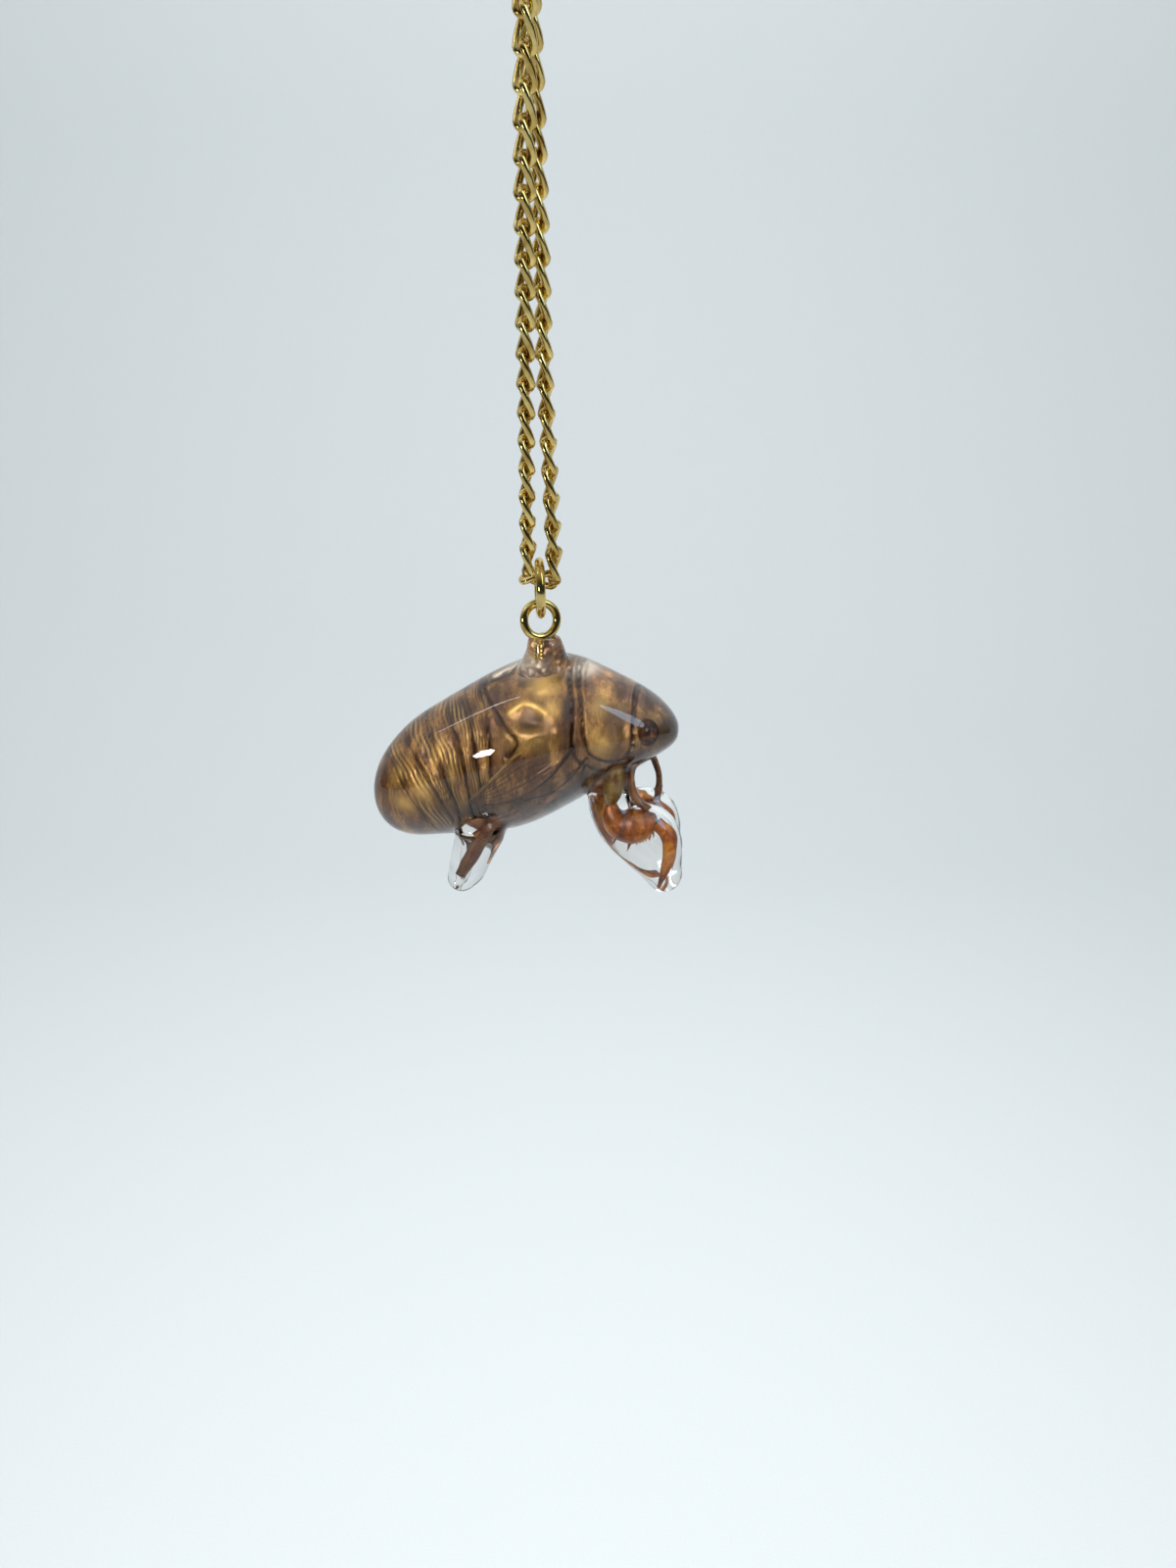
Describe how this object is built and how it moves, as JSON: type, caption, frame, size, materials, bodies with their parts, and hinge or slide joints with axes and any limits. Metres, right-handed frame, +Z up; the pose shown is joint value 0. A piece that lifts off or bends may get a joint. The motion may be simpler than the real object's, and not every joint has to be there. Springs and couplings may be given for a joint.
{
  "type": "resin-coated cicada shell pendant",
  "caption": "Moulted cicada shell sealed in clear resin, hung by a wire eye and a jump ring on a doubled curb chain that closes in a small ring",
  "frame": {"origin": "centre of the ring at the top of the chain, where the part hangs", "axes": "+Z up along the chain, +X towards the insect's head, -Y towards the side that faces the viewer"},
  "size_m": [0.0331, 0.0186, 0.0884],
  "materials": {
    "gold": "polished gold plating",
    "shell": "thin translucent brown cuticle",
    "resin": "clear, glossy, poured"
  },
  "bodies": {
    "chain": {"chain_link_01": "gold", "chain_link_02": "gold", "chain_link_03": "gold", "chain_link_04": "gold", "chain_link_05": "gold", "chain_link_06": "gold", "chain_link_07": "gold", "chain_link_08": "gold", "chain_link_09": "gold", "chain_link_10": "gold", "chain_link_11": "gold", "chain_link_12": "gold", "chain_link_13": "gold", "chain_link_14": "gold", "chain_link_15": "gold", "chain_link_16": "gold", "chain_link_17": "gold", "chain_link_18": "gold", "chain_link_19": "gold", "chain_link_20": "gold", "chain_link_21": "gold", "chain_link_22": "gold", "chain_link_23": "gold", "chain_link_24": "gold", "chain_link_25": "gold", "chain_link_26": "gold", "chain_link_27": "gold", "chain_link_28": "gold", "chain_link_29": "gold", "chain_link_30": "gold", "chain_link_31": "gold", "chain_link_32": "gold", "chain_link_33": "gold", "chain_link_34": "gold", "chain_link_35": "gold", "chain_link_36": "gold", "chain_link_37": "gold", "chain_link_38": "gold", "chain_link_39": "gold", "chain_link_40": "gold", "chain_link_41": "gold", "chain_link_42": "gold", "top_ring": "gold"},
    "jump_ring": {"jump_ring": "gold"},
    "pendant": {"eye": "gold", "cicada_shell": "shell", "resin_left": "resin", "resin_right": "resin"}
  },
  "joints": [
    {"name": "ring_swing", "type": "hinge", "parent": "chain", "child": "jump_ring", "pos_m": [0, 0, -0.05114], "axis": [1, 0, 0], "range_deg": [-30, 30]},
    {"name": "pendant_swing", "type": "hinge", "parent": "jump_ring", "child": "pendant", "pos_m": [0, 0, -0.05491], "axis": [-0.0872, 0.9962, 0], "range_deg": [-50, 50]}
  ]
}
